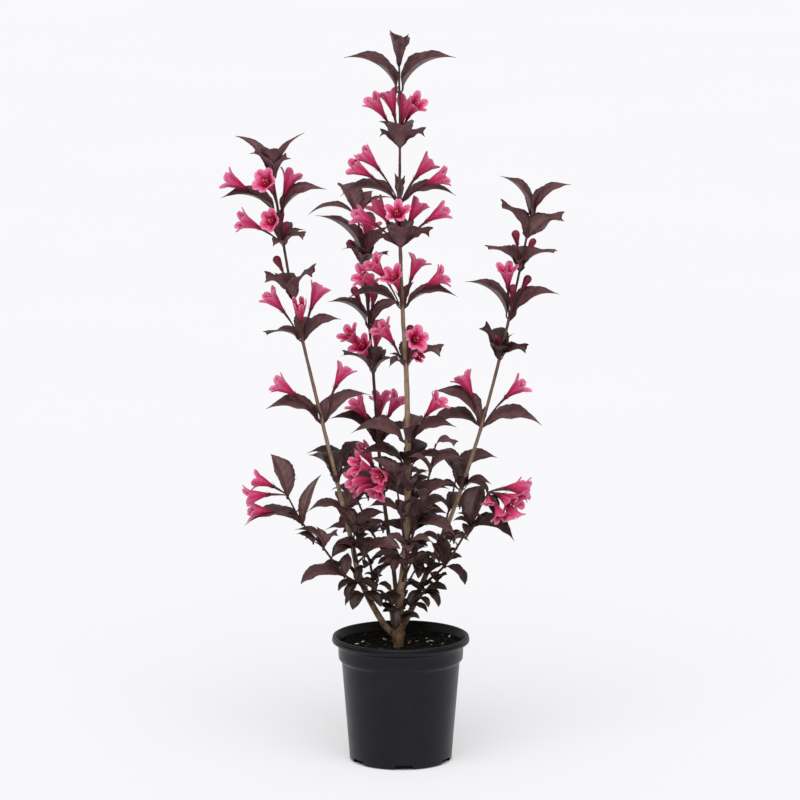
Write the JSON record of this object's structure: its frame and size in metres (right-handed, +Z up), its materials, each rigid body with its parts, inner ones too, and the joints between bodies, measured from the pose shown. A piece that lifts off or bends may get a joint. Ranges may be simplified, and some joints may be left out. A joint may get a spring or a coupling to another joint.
{
  "type": "potted weigela",
  "caption": "Young weigela shrub with dark burgundy leaves and crimson trumpet flowers on upright stems, growing in a round black nursery pot.",
  "frame": {"origin": "middle of the pot's flat underside", "axes": "+Z up along the plant, +X to the right of the side that is seen, +Y away from that side"},
  "size_m": [0.4081, 0.2435, 0.8698],
  "materials": {
    "pot": "satin moulded black plastic",
    "potting_mix": "dark crumbly bark and peat mix with pale grit",
    "bark": "dull tan bark",
    "foliage": "satin burgundy leaves",
    "blossom": "soft matt crimson-pink petals"
  },
  "bodies": {
    "root": {"pot": "pot", "potting_mix": "potting_mix", "stem_base": "bark", "main_stem": "bark", "left_stem": "bark", "right_stem": "bark", "back_stem": "bark", "main_whorl_01": "foliage", "main_whorl_02": "foliage", "main_whorl_03": "foliage", "main_whorl_04": "foliage", "main_whorl_05": "foliage", "main_whorl_06": "foliage", "main_whorl_07": "foliage", "main_whorl_08": "foliage", "main_whorl_09": "foliage", "main_whorl_10": "foliage", "main_tip": "foliage", "left_whorl_01": "foliage", "left_whorl_02": "foliage", "left_whorl_03": "foliage", "left_whorl_04": "foliage", "left_whorl_05": "foliage", "left_whorl_06": "foliage", "left_tip": "foliage", "right_whorl_02": "foliage", "right_whorl_03": "foliage", "right_whorl_04": "foliage", "right_whorl_05": "foliage", "right_whorl_06": "foliage", "right_whorl_07": "foliage", "right_tip": "foliage", "back_whorl_03": "foliage", "back_whorl_04": "foliage", "back_whorl_05": "foliage", "back_whorl_06": "foliage", "back_whorl_07": "foliage", "back_tip": "foliage", "low_left_shoot": "foliage", "low_right_shoot": "foliage", "flowering_shoot": "foliage", "inner_right_shoot": "foliage", "inner_left_shoot": "foliage", "mid_left_shoot": "foliage", "mid_front_shoot": "foliage", "back_left_shoot": "foliage", "back_right_shoot": "foliage", "back_low_shoot": "foliage", "left_sprig": "foliage", "right_sprig": "foliage", "foot_sprig": "foliage", "side_sprig": "foliage"}
  },
  "joints": []
}
